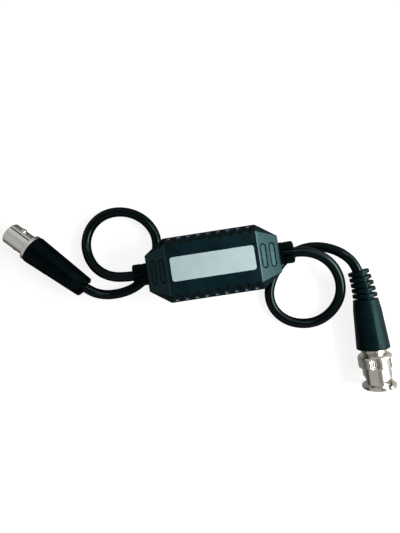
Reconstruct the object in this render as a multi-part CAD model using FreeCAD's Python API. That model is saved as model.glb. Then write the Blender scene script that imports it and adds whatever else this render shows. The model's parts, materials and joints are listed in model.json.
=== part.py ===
import FreeCAD, Part
import os
from math import atan2, cos, degrees, pi, radians, sin, tan

# Video ground loop isolator for a camera cable: a black two-shell housing with a toroid transformer inside,
# and a coax pigtail at each end, one with a bayonet jack and one with a bayonet plug.
# Millimetres, +Z up. The origin is at the middle of the housing's flat bottom, +X runs along the housing
# towards the plug's pigtail, and the part lies on the plane z = 0.

# Housing, a faceted box: its halves differ in how far the upright band reaches from the parting line
housing_length = 55.9
housing_width = 27.2
housing_height = 20.6
roof_length = 37.4
roof_width = 20.8
side_length = 38.8
end_width = 15.1
band_above = 4.8
band_below = 1.2
edge_round = 0.4
roof_wall = 2.0
side_wall = 2.5
nose_length = 5.4
corner_wall = 2.5
lip_width = 0.9
lip_height = 0.8
lip_clearance = 0.05
joint_depth = 0.2
joint_height = 0.1

# Grip flutes down the long sides
flute_count = 9
flute_pitch = 4.15
flute_radius = 1.3
flute_depth = 0.6
flute_start = 2.1

# Oblong recesses on the sloping ends
slot_count = 2
slot_pitch = 3.9
slot_width = 2.6
slot_length = 10.0
slot_depth = 0.35
slot_start = 2.2
slot_tilt = 7.0

# Label in its pocket
label_length = 34.4
label_width = 9.9
label_thickness = 0.3
label_corner = 1.1
label_gap = 0.15
label_recess = 0.15

# Coax
cable_diameter = 4.3
cable_clearance = 0.05

# Strain relief moulded on each cable where it enters the housing
relief_length = 6.2
relief_width = 9.3
relief_height = 8.7
relief_chamfer = 1.2
relief_slot_width = 3.0
relief_notch_width = 0.9
relief_notch_depth = 1.4
relief_notch_start = 1.6
neck_radius = 2.8
flange_radius = 3.3
flange_thickness = 1.2
shell_clearance = 0.05
free_cable_depth = 4.4
stub_reach = 2.0

# Circuit board and what stands on it
board_length = 36.4
board_width = 16.0
board_thickness = 1.6
board_underside = 4.7
post_x = 15.6
post_y = 5.8
post_radius = 2.0
peg_radius = 1.1
peg_clearance = 0.05
peg_reach = 3.2
core_outer_radius = 7.0
core_inner_radius = 3.8
core_height = 6.0
core_chamfer = 0.4
winding_thickness = 0.45
turn_thickness = 0.25
winding_angle = 150.0
turn_count = 15
turn_share = 0.62
winding_clearance = 0.03
seat_clearance = 0.05
capacitor_x = 11.9
capacitor_length = 3.2
capacitor_width = 7.2
capacitor_height = 6.5
capacitor_round = 0.5
lead_pitch = 5.0
lead_radius = 0.3
lead_reach = 1.0
wire_pad_x = 16.6
wire_pad_y = 1.8
core_wire_radius = 0.5
braid_tail_radius = 0.7
wire_side_step = 1.0
wire_drop = 1.25

# Bayonet jack on the left pigtail: distances run from the boot's cable end towards the mouth
jack_boot_length = 29.1
jack_boot_end_radius = 4.6
jack_boot_radius = 6.4
jack_flange_length = 1.6
jack_flange_radius = 6.1
jack_barrel_length = 10.8
jack_barrel_radius = 4.825
jack_bore_radius = 4.075
jack_bore_depth = 8.5
lug_radius = 1.0
lug_tip_radius = 5.5
lug_from_mouth = 5.2
lug_turn = 72.0
seam_turn = 37.0
seam_width = 0.55
seam_depth = 0.4
jack_nose_radius = 2.35
jack_nose_recess = 0.4
socket_radius = 0.70
socket_depth = 6.0
socket_slot_width = 0.25
socket_slot_turn = 45.0
boot_fork_length = 1.5
boot_fork_width = 4.5
boot_ramp_end = 5.2
boot_ramp_width = 3.8
boot_ramp_floor = 2.6
boot_dimple_start = 8.2
boot_dimple_length = 2.4
boot_dimple_width = 1.2
boot_dimple_depth = 0.7

# Bayonet plug on the right pigtail: distances run from the boot's cable end, or on from its big end
plug_boot_length = 33.7
plug_relief_length = 12.9
plug_relief_bend = 9.0
plug_relief_end_radius = 4.3
plug_relief_radius = 5.15
plug_rib_count = 5
plug_rib_gap = 0.8
plug_root_step = 0.15
plug_relief_core_radius = 3.2
plug_shoulder_length = 3.9
plug_shoulder_radius = 5.75
plug_boot_radius = 6.85
collar_length = 1.9
collar_radius = 5.1
journal_radius = 4.3
journal_clearance = 0.05
nut_start = 2.4
nut_length = 14.4
nut_web_length = 2.8
nut_bore_radius = 4.95
nut_knurl_radius = 7.0
nut_knurl_depth = 0.35
nut_knurl_teeth = 56
nut_shoulder_radius = 6.85
nut_shoulder_length = 1.4
nut_knurl_length = 3.8
nut_step_length = 0.8
nut_chamfer = 0.7
nut_barrel_radius = 5.75
nut_rim_radius = 6.9
nut_rim_length = 1.5
nut_flare_length = 0.7
nut_slot_width = 2.3
nut_slot_turn = 11.0
nut_slot_entry = 2.5
nut_slot_rise = 1.9
nut_slot_sweep = 80.0
detent_radius = 1.25
detent_back = 0.3
nut_float = 0.4
ring_thickness = 0.4
ring_start = 3.4
ring_inner_radius = 3.95
ring_outer_radius = 4.7
ring_gap_angle = 40.0
ring_axial_clearance = 0.05
ring_radial_clearance = 0.1
body_flange_start = 6.15
body_flange_length = 1.1
body_flange_radius = 4.8
gasket_length = 1.0
gasket_seat_radius = 4.2
contact_radius = 4.03
contact_bore_radius = 3.4
contact_length = 6.15
contact_slot_count = 4
contact_slot_width = 0.35
contact_slot_length = 4.5
pin_radius = 0.685
pin_length = 4.6
pin_point = 0.5
pin_tip_radius = 0.2
plug_nose_bore_radius = 2.42
plug_nose_recess = 0.6
washer_thickness = 0.2
washer_clearance = 0.02
washer_waves = 3
washer_inner_radius = 4.42
washer_outer_radius = 4.78

# Inner parts that both connectors share
spigot_radius = 4.2
spigot_length = 8.5
spigot_wall = 1.2
ferrule_length = 8.0
ferrule_wall = 0.65
part_clearance = 0.05
edge_break = 0.3
insulator_radius = 3.35
insulator_lip = 0.6
contact_stem_radius = 1.05
contact_tail_radius = 0.5
contact_tail_length = 2.4
connector_cable_depth = 3.5
inner_cable_depth = 1.0

# Where each connector's boot takes its cable, and the heading of the connector's mouth
jack_entry = (-57.5, -1.65, 6.45)
jack_heading = 135.5
plug_entry = (61.2, -12.3, 7.3)
plug_heading = -90.0

# Cable routes, from inside the strain relief to the last bend before the connector
lead_in_length = 3.0
arc_share = 0.45
floor_height = cable_diameter / 2
cable_exit_height = housing_height / 2
left_route = [
    (-29.75, 0.0, cable_exit_height),
    (-37.6, 0.0, cable_exit_height),
    (-45.2, 1.3, 8.4),
    (-51.6, 5.5, 5.6),
    (-55.2, 11.9, 3.2),
    (-55.6, 19.2, floor_height),
    (-52.1, 25.7, floor_height),
    (-45.9, 29.7, floor_height),
    (-38.6, 30.3, floor_height),
    (-31.7, 28.0, floor_height),
    (-26.3, 23.3, floor_height),
    (-23.3, 16.7, floor_height),
    (-24.0, 9.6, floor_height),
    (-27.1, 3.1, floor_height),
    (-31.6, -2.4, floor_height),
    (-37.8, -5.6, floor_height),
    (-44.1, -6.7, floor_height),
    (-50.3, -6.3, 3.4),
]
right_route = [
    (29.75, 0.0, cable_exit_height),
    (37.9, 0.0, cable_exit_height),
    (45.3, -2.7, 9.6),
    (50.8, -8.0, 8.7),
    (53.4, -15.2, 7.1),
    (52.7, -22.6, 5.3),
    (48.6, -28.6, 3.3),
    (42.2, -32.1, 2.3),
    (34.9, -32.2, floor_height),
    (28.1, -29.4, floor_height),
    (23.4, -23.8, floor_height),
    (22.4, -16.7, floor_height),
    (25.1, -10.1, floor_height),
    (29.5, -4.3, floor_height),
    (35.7, -0.4, floor_height),
    (42.7, 1.4, 2.4),
    (49.9, 0.2, 3.9),
    (56.0, -3.4, 6.2),
]

# Sizes that follow from the ones above
parting = housing_height / 2
cable_radius = cable_diameter / 2
cable_bore = cable_radius + cable_clearance
half_length = housing_length / 2
nose_face = half_length - nose_length
well_inside = 0.7 * nose_face
end_slope_run = half_length - roof_length / 2
side_slope_run = (housing_width - roof_width) / 2
board_top = board_underside + board_thickness
core_bottom = board_top + seat_clearance + winding_thickness + turn_thickness
core_top = core_bottom + core_height
flange_end = jack_boot_length + jack_flange_length
mouth = flange_end + jack_barrel_length
jack_shelf = mouth - jack_bore_depth
jack_tip = mouth - jack_nose_recess
nut_web_end = nut_start + nut_web_length
gasket_start = body_flange_start + body_flange_length
mating_face = gasket_start + gasket_length
relief_bend_length = plug_relief_length - connector_cable_depth
relief_bend_radius = relief_bend_length / radians(plug_relief_bend)
contact_tip = gasket_start + contact_length
spigot_start_jack = jack_boot_length - spigot_length
spigot_start_plug = plug_boot_length - spigot_length

V = FreeCAD.Vector
X_AXIS = V(1, 0, 0)
Y_AXIS = V(0, 1, 0)
Z_AXIS = V(0, 0, 1)
ORIGIN = V(0, 0, 0)

# How far a cutter runs past the face that it opens, a length past every piece, and a margin to pick edges by
past = 1.0
far = 200.0
tiny = 0.01


def block(x0, x1, y0, y1, z0, z1):
    return Part.makeBox(x1 - x0, y1 - y0, z1 - z0, V(x0, y0, z0))


def rod(radius, start, end, direction=X_AXIS, at=ORIGIN):
    return Part.makeCylinder(radius, end - start, at + direction * start, direction)


def turned(profile):
    """A solid of revolution about the X axis from (x, radius) corners."""
    corners = [V(x, 0, r) for x, r in profile]
    return Part.Face(Part.makePolygon(corners + corners[:1])).revolve(ORIGIN, X_AXIS, 360)


def sleeve(inner, outer, start, end):
    return rod(outer, start, end).cut(rod(inner, start - past, end + past))


def turn(shape, axis, angle, about=ORIGIN):
    copy = shape.copy()
    copy.rotate(about, axis, angle)
    return copy


def shift(shape, x=0.0, y=0.0, z=0.0):
    copy = shape.copy()
    copy.translate(V(x, y, z))
    return copy


def join(first, *others):
    return first.multiFuse(list(others)).removeSplitter()


def half_turned(shape):
    """The same piece at the housing's other end."""
    return turn(shape, Z_AXIS, 180)


def prism(outline, z0, z1):
    corners = [V(x, y, z0) for x, y in outline]
    return Part.Face(Part.makePolygon(corners + corners[:1])).extrude(V(0, 0, z1 - z0))


def octagon(length, width, side, end):
    """The housing's outline at its parting line: a rectangle with its corners cut off."""
    quarter = [(length / 2, end / 2), (side / 2, width / 2)]
    right = [(x, -y) for x, y in quarter[::-1]] + quarter
    return right + [(-x, -y) for x, y in right]


def faceted_body(length, width, height, roof_l, roof_w, side, end, upright):
    """A body with the octagon's outline and flat roofs above and below, joined by sloping facets."""
    ring = octagon(length, width, side, end)
    x, y = roof_l / 2, roof_w / 2
    roof = [(x, -y), (x, y), (-x, y), (-x, -y)]
    faces = []

    def face(*corners):
        faces.append(Part.Face(Part.makePolygon(list(corners) + [corners[0]])))

    for a, b in zip(ring, ring[1:] + ring[:1]):
        face(V(*a, -upright), V(*b, -upright), V(*b, upright), V(*a, upright))
    for sign in (1, -1):
        low = [V(x, y, sign * upright) for x, y in ring]
        top = [V(x, y, sign * height / 2) for x, y in roof]
        face(*top)
        for i in range(4):
            corner, after = top[i], top[(i + 1) % 4]
            first, second, third = low[2 * i], low[2 * i + 1], low[(2 * i + 2) % 8]
            face(corner, first, second)
            face(corner, second, third, after)
    return Part.Solid(Part.Shell(faces))


def flute(band):
    """Cutters for one flute: a rod along the upper far side's slope, and a ball at its lower end."""
    slope = V(0, -side_slope_run, parting - band).normalize()
    outward = V(0, slope.z, -slope.y)
    foot = V(0, housing_width / 2, band) + slope * flute_start + outward * (flute_radius - flute_depth)
    return [rod(flute_radius, 0, housing_height, slope, foot), Part.makeSphere(flute_radius, foot)]


def end_recess(index, band):
    """A cutter for one oblong recess on the upper right slope, whose floor lies flatter than the slope."""
    half, reach = slot_width / 2, (slot_length - slot_width) / 2
    rounds = [rod(half, -slot_depth, past, Z_AXIS, V(0, y, 0)) for y in (-reach, reach)]
    cutter = join(block(-half, half, -reach, reach, -slot_depth, past), *rounds)
    rise = parting - band
    along = slot_start + index * slot_pitch
    cutter = turn(cutter, Y_AXIS, degrees(atan2(rise, end_slope_run)) - slot_tilt)
    return shift(cutter, roof_length / 2 + along, 0, parting - along * rise / end_slope_run)


def on_all_quarters(cutters):
    """Cutters for the upper right or far side, repeated on the four like faces of the housing."""
    both = cutters + [half_turned(c) for c in cutters]
    return both + [turn(c, X_AXIS, 180) for c in both]


def rounded_plate(length, width, corner, z0, z1):
    plate = block(-length / 2, length / 2, -width / 2, width / 2, z0, z1)
    upright = [e for e in plate.Edges if abs(e.tangentAt(e.FirstParameter).z) > 0.9]
    return plate.makeFillet(corner, upright)


def upper_half(shape):
    return shape.common(block(-far, far, -far, far, 0, far))


def lower_half(shape):
    return shape.common(block(-far, far, -far, far, -far, 0))


def housing_hull(band):
    """The housing's outside, centred on its parting plane, with a band that reaches that far up and down."""
    hull = faceted_body(
        housing_length, housing_width, housing_height, roof_length, roof_width, side_length, end_width, band
    )
    return hull.makeFillet(edge_round, hull.Edges)


def housing_outside(band):
    first = -(flute_count - 1) / 2 * flute_pitch
    flutes = [shift(cutter, first + i * flute_pitch) for i in range(flute_count) for cutter in flute(band)]
    recesses = [end_recess(i, band) for i in range(slot_count)]
    return housing_hull(band).cut(on_all_quarters(flutes) + on_all_quarters(recesses))


def cavity_octagon(grow=0.0):
    return octagon(
        housing_length - 2 * nose_length + 2 * grow,
        housing_width - 2 * side_wall + 2 * grow,
        side_length - 2 * corner_wall + grow,
        end_width - corner_wall + grow,
    )


def cavity(band):
    return faceted_body(
        housing_length - 2 * nose_length,
        housing_width - 2 * side_wall,
        housing_height - 2 * roof_wall,
        roof_length - 2 * roof_wall,
        roof_width - 2 * roof_wall,
        side_length - 2 * corner_wall,
        end_width - corner_wall,
        band,
    )


def joint_groove():
    """The fine groove round the outside where the two shells meet."""
    inset = octagon(
        housing_length - 2 * joint_depth,
        housing_width - 2 * joint_depth,
        side_length - joint_depth,
        end_width - joint_depth,
    )
    groove = block(-far, far, -far, far, parting - joint_height, parting + joint_height)
    return groove.cut(prism(inset, 0, housing_height))


def relief_room():
    """The space in both shells for the right strain relief's neck and flange."""
    room = join(
        rod(neck_radius + shell_clearance, nose_face - past, half_length + relief_length),
        rod(flange_radius + shell_clearance, well_inside, nose_face + shell_clearance),
    )
    return shift(room, z=parting)


def posts(radius, z0, z1):
    return [rod(radius, z0, z1, Z_AXIS, V(sx * post_x, sy * post_y, 0)) for sx in (-1, 1) for sy in (-1, 1)]


def lower_shell():
    shell = shift(lower_half(housing_outside(band_below).cut(cavity(band_below))), z=parting)
    lip = prism(cavity_octagon(lip_width), parting - lip_height, parting + lip_height)
    lip = lip.cut(prism(cavity_octagon(), parting - far, parting + far))
    shell = join(shell, lip, *posts(post_radius, roof_wall / 2, board_underside))
    shell = join(shell, *posts(peg_radius, roof_wall / 2, board_top + peg_reach))
    return shell.cut([joint_groove(), relief_room(), half_turned(relief_room())])


def upper_shell():
    shell = shift(upper_half(housing_outside(band_above).cut(cavity(band_above))), z=parting)
    grow = lip_width + lip_clearance
    shell = shell.cut(prism(cavity_octagon(grow), parting - past, parting + lip_height + lip_clearance))
    top = housing_height - roof_wall / 2
    shell = join(shell, *posts(post_radius, board_top + seat_clearance, top))
    sockets = posts(peg_radius + peg_clearance, 0, board_top + peg_reach + 2 * peg_clearance)
    pocket = rounded_plate(
        label_length + 2 * label_gap,
        label_width + 2 * label_gap,
        label_corner + label_gap,
        housing_height - label_thickness - label_recess,
        housing_height + past,
    )
    return shell.cut(sockets + [pocket, joint_groove(), relief_room(), half_turned(relief_room())])


def label():
    top = housing_height - label_recess
    return rounded_plate(label_length, label_width, label_corner, top - label_thickness, top)


def strain_relief():
    """The right one: a slotted block outside, a neck through the wall and a flange behind it."""
    end = half_length + relief_length
    w, h, c = relief_width / 2, relief_height / 2, relief_chamfer
    right = [(w - c, -h), (w, c - h), (w, h - c), (w - c, h)]
    section = right + [(-y, -z) for y, z in right]
    corners = [V(well_inside, y, z) for y, z in section]
    outer = Part.Face(Part.makePolygon(corners + corners[:1])).extrude(V(end - well_inside, 0, 0))
    outer = outer.makeChamfer(relief_chamfer / 2, [e for e in outer.Edges if e.CenterOfMass.x > end - tiny])
    outer = outer.cut([upper_half(housing_hull(band_above)), lower_half(housing_hull(band_below))])
    start = half_length + relief_notch_start
    notch = block(start, start + relief_notch_width, -far, far, -far, far)
    inside = block(-far, far, relief_notch_depth - w, w - relief_notch_depth, -far, far)
    groove = block(start, end + past, -relief_slot_width / 2, relief_slot_width / 2, -far, far)
    sheath = rod(cable_radius + relief_notch_depth / 2, start - past, end)
    outer = outer.cut([notch.cut(inside), groove])
    piece = join(
        outer,
        sheath,
        rod(neck_radius, nose_face - flange_thickness / 2, start),
        rod(flange_radius, nose_face - flange_thickness, nose_face),
    )
    return shift(piece.cut(rod(cable_bore, 0, far)), z=parting)


def inner_cable():
    """The end of the right cable inside its strain relief."""
    end = half_length + relief_length - free_cable_depth
    return shift(rod(cable_radius, nose_face - stub_reach, end), z=parting)


def tube(route, radius):
    """A tube along straight runs joined by tangent arcs as large as the runs allow."""
    points = [V(*p) for p in route]
    edges, radii, last = [], [], points[0]
    for before, corner, after in zip(points, points[1:], points[2:]):
        entering, leaving = corner - before, after - corner
        reach = arc_share * min(entering.Length, leaving.Length)
        half_angle = entering.getAngle(leaving) / 2
        arc_radius = reach / tan(half_angle)
        entering.normalize()
        leaving.normalize()
        start, end = corner - entering * reach, corner + leaving * reach
        inward = (leaving - entering).normalize()
        middle = corner + inward * (arc_radius / cos(half_angle) - arc_radius)
        edges.append(Part.LineSegment(last, start).toShape())
        edges.append(Part.Arc(start, middle, end).toShape())
        radii.append(arc_radius)
        last = end
    edges.append(Part.LineSegment(last, points[-1]).toShape())
    path = Part.Wire(edges)
    first = (points[1] - points[0]).normalize()
    section = Part.Wire(Part.makeCircle(radius, points[0], first))
    solid = path.makePipeShell([section], True, False)
    print("tube length", round(path.Length, 1), "arc radii", [round(r, 1) for r in radii])
    return solid


def board():
    x, y = board_length / 2, board_width / 2
    plate = block(-x, x, -y, y, board_underside, board_top)
    holes = posts(peg_radius + 2 * peg_clearance, 0, far)
    for side in (-1, 1):
        for way in (-1, 1):
            at = V(side * capacitor_x, way * lead_pitch / 2, 0)
            holes.append(rod(lead_radius + seat_clearance, 0, far, Z_AXIS, at))
    return plate.cut(holes)


def ring_z(inner, outer, z0, z1):
    return rod(outer, z0, z1, Z_AXIS).cut(rod(inner, z0 - past, z1 + past, Z_AXIS))


def sector(inner, outer, z0, z1, span):
    """Part of an upright ring, centred on the +X side."""
    x0, x1 = inner, outer
    corners = [V(x0, 0, z0), V(x1, 0, z0), V(x1, 0, z1), V(x0, 0, z1)]
    piece = Part.Face(Part.makePolygon(corners + corners[:1])).revolve(ORIGIN, Z_AXIS, span)
    return turn(piece, Z_AXIS, -span / 2)


def toroid_core():
    core = ring_z(core_inner_radius, core_outer_radius, core_bottom, core_top)
    return core.makeChamfer(core_chamfer, core.Edges[:])


def winding(turned_by):
    """A wire coil round half of the toroid, with a ridge for each turn."""
    sleeve_part = sector(
        core_inner_radius - winding_thickness,
        core_outer_radius + winding_thickness,
        core_bottom - winding_thickness,
        core_top + winding_thickness,
        winding_angle,
    )
    thick = winding_thickness + turn_thickness
    step = winding_angle / turn_count
    inner, outer = core_inner_radius - thick, core_outer_radius + thick
    ridge = sector(inner, outer, core_bottom - thick, core_top + thick, turn_share * step)
    ridges = [turn(ridge, Z_AXIS, (i - (turn_count - 1) / 2) * step) for i in range(turn_count)]
    room = ring_z(
        core_inner_radius - winding_clearance,
        core_outer_radius + winding_clearance,
        core_bottom - winding_clearance,
        core_top + winding_clearance,
    )
    return turn(join(sleeve_part, *ridges).cut(room), Z_AXIS, turned_by)


def capacitor():
    """The right one, with its two leads through the board."""
    x0, x1 = capacitor_x - capacitor_length / 2, capacitor_x + capacitor_length / 2
    base = board_top + seat_clearance
    body = block(x0, x1, -capacitor_width / 2, capacitor_width / 2, base, base + capacitor_height)
    body = body.makeFillet(capacitor_round, [e for e in body.Edges if e.CenterOfMass.z > base + tiny])
    lead = rod(lead_radius, board_underside - lead_reach, base + lead_reach, Z_AXIS, V(capacitor_x, 0, 0))
    leads = [shift(lead, y=way * lead_pitch / 2) for way in (-1, 1)]
    return join(body, *leads)


def inner_wire(side, radius):
    """A lead of the right cable, bent down from its stub to a pad on the board."""
    start = nose_face - stub_reach
    route = [
        (start, side * wire_side_step, parting),
        (start - 2 * wire_drop, side * wire_side_step, parting),
        (wire_pad_x, side * wire_pad_y, board_top + 2 * wire_drop),
        (wire_pad_x, side * wire_pad_y, board_top),
    ]
    return tube(route, radius)


def on_bend(shape, back):
    """A piece made at the root of the plug's strain relief, moved back along its bend and straight end."""
    on_straight = max(0.0, back - relief_bend_length)
    angle = degrees((back - on_straight) / relief_bend_radius)
    return turn(shift(shape, -on_straight), Z_AXIS, angle, V(plug_relief_length, -relief_bend_radius, 0))


def bent_bar(radius):
    """A round bar along the bent stretch of the plug's strain relief."""
    circle = Part.Face(Part.Wire(Part.makeCircle(radius, V(plug_relief_length, 0, 0), X_AXIS)))
    return circle.revolve(V(plug_relief_length, -relief_bend_radius, 0), Z_AXIS, plug_relief_bend)


def relief_bar(radius):
    """The same bar with its straight end, up to where the cable goes in."""
    straight = rod(radius, plug_relief_length - connector_cable_depth, plug_relief_length)
    return join(bent_bar(radius), on_bend(straight, relief_bend_length))


class Frame:
    """Where a connector lies: a point on its axis and the heading of its mouth."""

    def __init__(self, at, heading):
        self.at = at
        self.heading = heading

    def place(self, shape):
        copy = turn(shape, Z_AXIS, self.heading)
        copy.translate(self.at)
        return copy


def lead_in(entry, heading):
    """The last run of a cable, straight into its boot."""
    along = V(cos(radians(heading)), sin(radians(heading)), 0)
    return [V(*entry) - along * lead_in_length, V(*entry) + along * connector_cable_depth]


def plug_frame():
    """The plug's straight part, worked back from where its bent strain relief takes the cable."""
    cable_mouth = on_bend(Part.Vertex(plug_relief_length, 0, 0), plug_relief_length).Point
    return Frame(V(*plug_entry) - FreeCAD.Rotation(Z_AXIS, plug_heading).multVec(cable_mouth), plug_heading)


def boot_room(spigot_start):
    """The space inside a boot for its ferrule and the connector's rear spigot."""
    ferrule_radius = cable_bore + ferrule_wall
    return join(
        rod(ferrule_radius + part_clearance, spigot_start - ferrule_length, spigot_start + past),
        rod(spigot_radius + part_clearance, spigot_start, spigot_start + spigot_length + past),
    )


def ferrule(spigot_start):
    end = spigot_start - part_clearance
    return sleeve(cable_bore, cable_bore + ferrule_wall, spigot_start - ferrule_length, end)


def boot_ramp(surface):
    """A cutter whose floor rises from over the cable to the boot's surface."""
    outline = [(-past, boot_ramp_floor), (boot_fork_length, boot_ramp_floor), (boot_ramp_end, surface)]
    corners = [V(x, -boot_ramp_width / 2, z) for x, z in outline + [(boot_ramp_end, far), (-past, far)]]
    return Part.Face(Part.makePolygon(corners + corners[:1])).extrude(V(0, boot_ramp_width, 0))


def jack_boot():
    end = jack_boot_length
    slope = (jack_boot_radius - jack_boot_end_radius) / jack_boot_length
    boot = turned([(0, 0), (0, jack_boot_end_radius), (end, jack_boot_radius), (end, 0)])
    boot = boot.makeFillet(2 * edge_round, [e for e in boot.Edges if len(e.Vertexes) == 1 or e.Closed])
    ramp = boot_ramp(jack_boot_end_radius + slope * boot_ramp_end)
    fork = block(-past, boot_fork_length, -boot_fork_width / 2, boot_fork_width / 2, -far, far)
    dimple_end = boot_dimple_start + boot_dimple_length
    surface = jack_boot_end_radius + slope * boot_dimple_start
    half = boot_dimple_width / 2
    cutters = [
        fork,
        ramp,
        turn(ramp, X_AXIS, 180),
        block(boot_dimple_start + half, dimple_end - half, -half, half, surface - boot_dimple_depth, far),
        rod(half, surface - boot_dimple_depth, far, Z_AXIS, V(boot_dimple_start + half, 0, 0)),
        rod(half, surface - boot_dimple_depth, far, Z_AXIS, V(dimple_end - half, 0, 0)),
    ]
    return boot.cut(cutters + [rod(cable_bore, -past, far), boot_room(spigot_start_jack)])


def connector_stub(spigot_start):
    """The end of the coax inside a connector, straight, up to the insulator."""
    return rod(cable_radius, connector_cable_depth, spigot_start + inner_cable_depth)


def jack_shell():
    shell = turned([
        (spigot_start_jack, cable_bore),
        (spigot_start_jack, spigot_radius),
        (jack_boot_length, spigot_radius),
        (jack_boot_length, jack_flange_radius),
        (flange_end - edge_break, jack_flange_radius),
        (flange_end, jack_flange_radius - edge_break),
        (flange_end, jack_barrel_radius),
        (mouth - edge_break, jack_barrel_radius),
        (mouth, jack_barrel_radius - edge_break),
        (mouth, jack_bore_radius + edge_break / 2),
        (mouth - edge_break / 2, jack_bore_radius),
        (jack_shelf, jack_bore_radius),
        (jack_shelf, insulator_radius + part_clearance),
        (spigot_start_jack + spigot_wall, insulator_radius + part_clearance),
        (spigot_start_jack + spigot_wall, cable_bore),
    ])
    half = seam_width / 2
    seam = block(flange_end, mouth + past, -half, half, jack_barrel_radius - seam_depth, far)
    shell = shell.cut(turn(seam, X_AXIS, seam_turn))
    foot = (jack_bore_radius + jack_barrel_radius) / 2
    lug = rod(lug_radius, foot, lug_tip_radius, Z_AXIS, V(mouth - lug_from_mouth, 0, 0))
    lug = lug.makeFillet(edge_break / 2, [e for e in lug.Edges if e.CenterOfMass.z > lug_tip_radius - tiny])
    return join(shell, turn(lug, X_AXIS, lug_turn), turn(lug, X_AXIS, lug_turn + 180))


def jack_insulator():
    back = spigot_start_jack + spigot_wall + part_clearance
    return turned([
        (back, contact_stem_radius + part_clearance),
        (back, insulator_radius),
        (jack_shelf, insulator_radius),
        (jack_shelf, jack_nose_radius),
        (jack_tip - edge_break, jack_nose_radius),
        (jack_tip, jack_nose_radius - edge_break),
        (jack_tip, socket_radius + part_clearance),
        (jack_tip - insulator_lip, socket_radius + part_clearance),
        (jack_tip - insulator_lip, contact_stem_radius + part_clearance),
    ])


def jack_contact():
    tip = jack_tip - insulator_lip - part_clearance
    tail = spigot_start_jack + inner_cable_depth
    tail_end = tail + contact_tail_length
    stem = join(rod(contact_tail_radius, tail, tail_end + past), rod(contact_stem_radius, tail_end, tip))
    half = socket_slot_width / 2
    slot = block(tip - socket_depth + contact_stem_radius, tip + past, -half, half, -far, far)
    socket = rod(socket_radius, tip - socket_depth, tip + past)
    return stem.cut([socket, turn(slot, X_AXIS, socket_slot_turn)])


def plug_boot():
    shoulder_end = plug_relief_length + plug_shoulder_length
    body = turned([
        (plug_relief_length - plug_rib_gap / 2, 0),
        (plug_relief_length - plug_rib_gap / 2, plug_relief_radius),
        (plug_relief_length + plug_rib_gap, plug_relief_radius + plug_root_step),
        (shoulder_end, plug_shoulder_radius),
        (plug_boot_length, plug_boot_radius),
        (plug_boot_length, 0),
    ])
    body = body.makeFillet(edge_round, [e for e in body.Edges if e.Closed])
    pitch = (plug_relief_length - plug_rib_gap / 2) / plug_rib_count
    pieces = []
    for i in range(plug_rib_count):
        share = (i + 0.5) / plug_rib_count
        radius = plug_relief_radius + (plug_relief_end_radius - plug_relief_radius) * share
        rib = rod(radius, plug_relief_length - pitch + plug_rib_gap, plug_relief_length)
        rib = rib.makeFillet(edge_round, [e for e in rib.Edges if e.Closed])
        pieces.append(on_bend(rib, plug_rib_gap * 1.5 + i * pitch))
    boot = join(body, relief_bar(plug_relief_core_radius), *pieces)
    cable_way = join(relief_bar(cable_bore), rod(cable_bore, plug_relief_length, plug_boot_length))
    return boot.cut(join(cable_way, boot_room(spigot_start_plug)))


def plug_stub():
    """The end of the right cable in the plug's boot: bent with the strain relief, then straight."""
    end = spigot_start_plug + inner_cable_depth
    return join(bent_bar(cable_radius), rod(cable_radius, plug_relief_length, end))


def past_boot(distance):
    return plug_boot_length + distance


def plug_body():
    groove_start = past_boot(ring_start - 2 * ring_axial_clearance)
    groove_end = past_boot(ring_start + ring_thickness + nut_float + 2 * ring_axial_clearance)
    body = turned([
        (spigot_start_plug, cable_bore),
        (spigot_start_plug, spigot_radius),
        (past_boot(0), spigot_radius),
        (past_boot(0), collar_radius),
        (past_boot(collar_length - edge_break), collar_radius),
        (past_boot(collar_length), collar_radius - edge_break),
        (past_boot(collar_length), journal_radius),
        (groove_start, journal_radius),
        (groove_start, ring_inner_radius - ring_radial_clearance),
        (groove_end, ring_inner_radius - ring_radial_clearance),
        (groove_end, journal_radius),
        (past_boot(body_flange_start), journal_radius),
        (past_boot(body_flange_start), body_flange_radius),
        (past_boot(gasket_start), body_flange_radius),
        (past_boot(gasket_start), gasket_seat_radius),
        (past_boot(mating_face), gasket_seat_radius),
        (past_boot(mating_face), contact_radius),
        (past_boot(contact_tip - edge_break), contact_radius),
        (past_boot(contact_tip), contact_radius - edge_break),
        (past_boot(contact_tip), contact_bore_radius),
        (spigot_start_plug + spigot_wall, contact_bore_radius),
        (spigot_start_plug + spigot_wall, cable_bore),
    ])
    slot_end = past_boot(contact_tip)
    half = contact_slot_width / 2
    slot = block(slot_end - contact_slot_length, slot_end + past, -half, half, contact_bore_radius / 2, far)
    step = 360 / contact_slot_count
    return body.cut([turn(slot, X_AXIS, (i + 0.5) * step) for i in range(contact_slot_count)])


def plug_insulator():
    back = spigot_start_plug + spigot_wall + part_clearance
    floor = past_boot(contact_tip - pin_length)
    tip = past_boot(contact_tip - plug_nose_recess)
    return turned([
        (back, contact_stem_radius + part_clearance),
        (back, insulator_radius),
        (tip, insulator_radius),
        (tip, plug_nose_bore_radius),
        (floor, plug_nose_bore_radius),
        (floor, contact_stem_radius + part_clearance),
    ])


def plug_pin():
    tail = spigot_start_plug + inner_cable_depth
    tip = past_boot(contact_tip)
    shelf = past_boot(contact_tip - pin_length) - part_clearance
    return turned([
        (tail, 0),
        (tail, contact_tail_radius),
        (tail + contact_tail_length, contact_tail_radius),
        (tail + contact_tail_length, contact_stem_radius),
        (shelf, contact_stem_radius),
        (shelf, pin_radius),
        (tip - pin_point, pin_radius),
        (tip, pin_tip_radius),
        (tip, 0),
    ])


def plug_gasket():
    inner = gasket_seat_radius + part_clearance
    return sleeve(inner, body_flange_radius, past_boot(gasket_start), past_boot(mating_face))


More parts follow.
